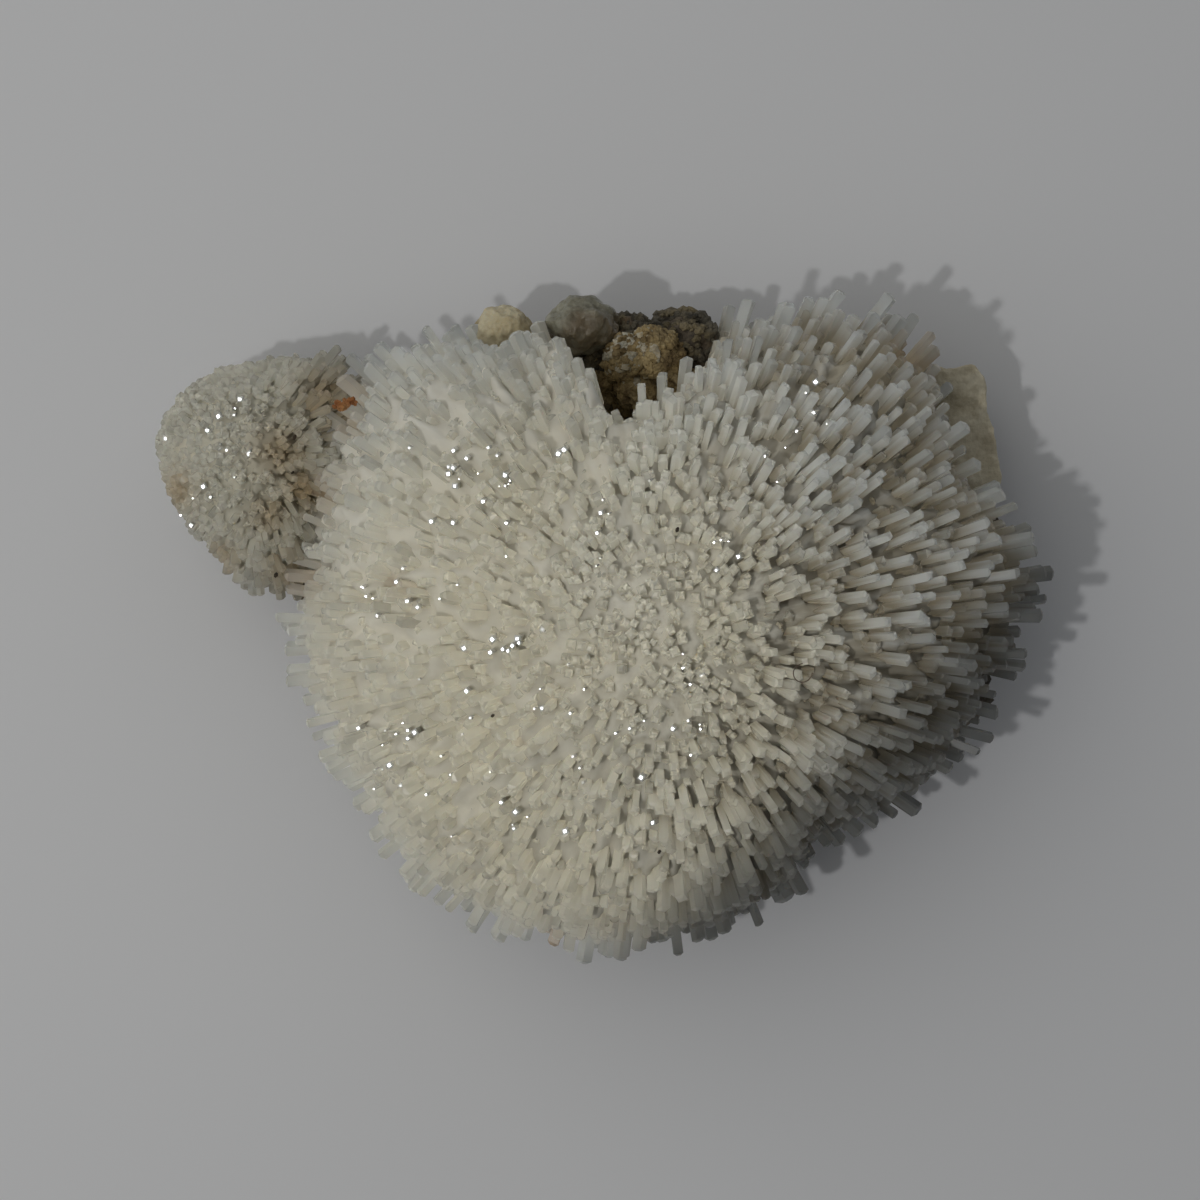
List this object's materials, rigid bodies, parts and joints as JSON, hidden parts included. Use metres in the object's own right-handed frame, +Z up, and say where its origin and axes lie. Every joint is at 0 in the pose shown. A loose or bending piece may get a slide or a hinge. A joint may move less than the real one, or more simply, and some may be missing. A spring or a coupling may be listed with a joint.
{
  "type": "natrolite specimen",
  "caption": "Natural mineral specimen: a domed radiating spray of square natrolite needles with a smaller spray at its side, lying on dark host rock.",
  "frame": {"origin": "on the resting face, under the middle of the specimen's outline", "axes": "+X along the long side, away from the smaller spray; +Y towards the notch with the brown rock; +Z up, the way the needle dome faces"},
  "size_m": [0.1125, 0.0825, 0.0527],
  "materials": {
    "natrolite_crystals": "milky translucent, glassy faces",
    "host_rock": "rough and broken",
    "ochre_crust": "crumbly and sugary",
    "cream_nodule": "dull, rounded",
    "grey_nodule": "translucent, waxy",
    "pale_corner_block": "weathered, dull"
  },
  "bodies": {
    "root": {"natrolite_crystals": "natrolite_crystals", "host_rock": "host_rock", "ochre_crust": "ochre_crust", "cream_nodule": "cream_nodule", "grey_nodule": "grey_nodule", "pale_corner_block": "pale_corner_block"}
  },
  "joints": []
}
